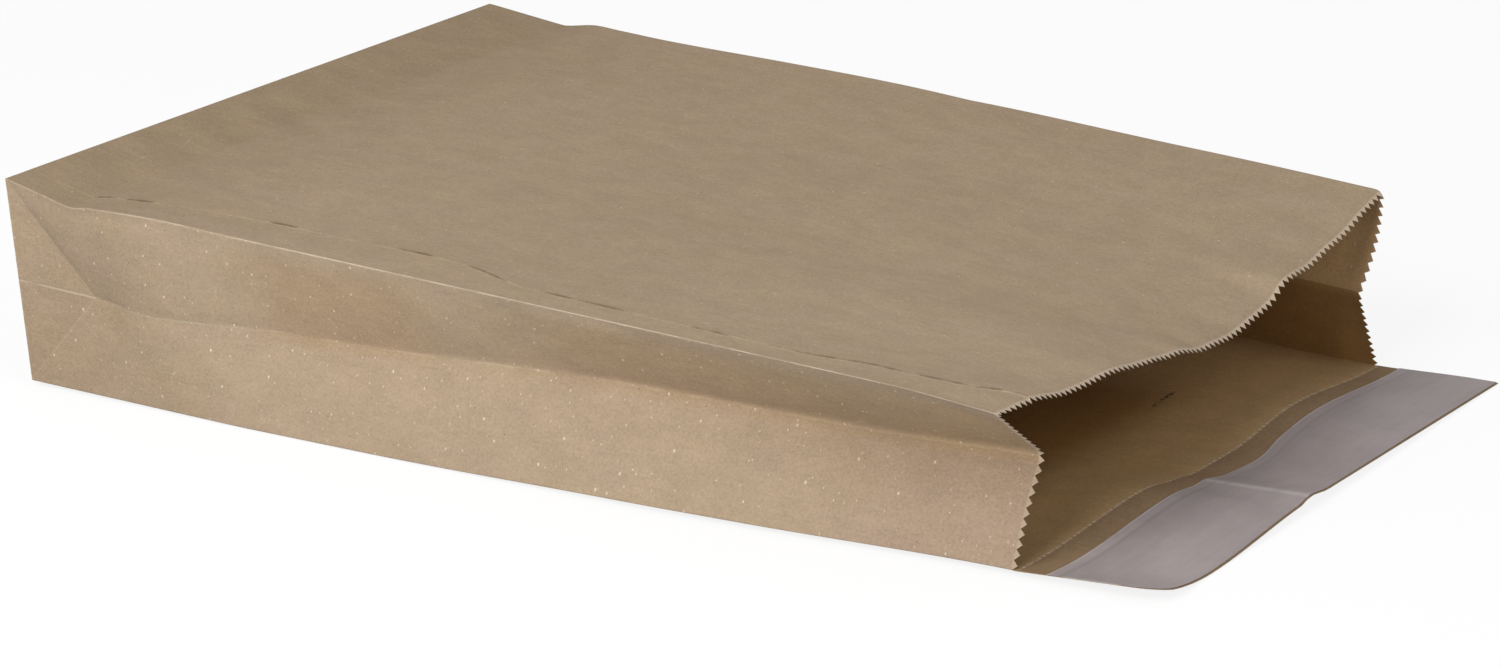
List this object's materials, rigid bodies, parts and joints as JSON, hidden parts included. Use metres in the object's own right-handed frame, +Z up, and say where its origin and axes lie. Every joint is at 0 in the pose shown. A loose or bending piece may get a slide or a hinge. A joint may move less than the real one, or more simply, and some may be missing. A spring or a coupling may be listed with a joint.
{
  "type": "paper mailing bag",
  "caption": "Kraft paper mailing bag with side gussets, block base, pinked mouth and a long sealing lip under a release liner, lying open on its back panel.",
  "frame": {"origin": "under the middle of the bag's box, on the surface that it lies on", "axes": "+X from the base towards the mouth and lip, +Y from the near gusset to the far one, +Z up from the back panel to the front panel"},
  "size_m": [0.4982, 0.3018, 0.0918],
  "materials": {
    "kraft": "matt brown kraft paper with fine fibres and light flecks",
    "adhesive": "thin tacky film",
    "liner": "greyish siliconised release paper, satin"
  },
  "bodies": {
    "root": {"bag_body": "kraft", "adhesive_strip": "adhesive", "release_liner": "liner"}
  },
  "joints": []
}
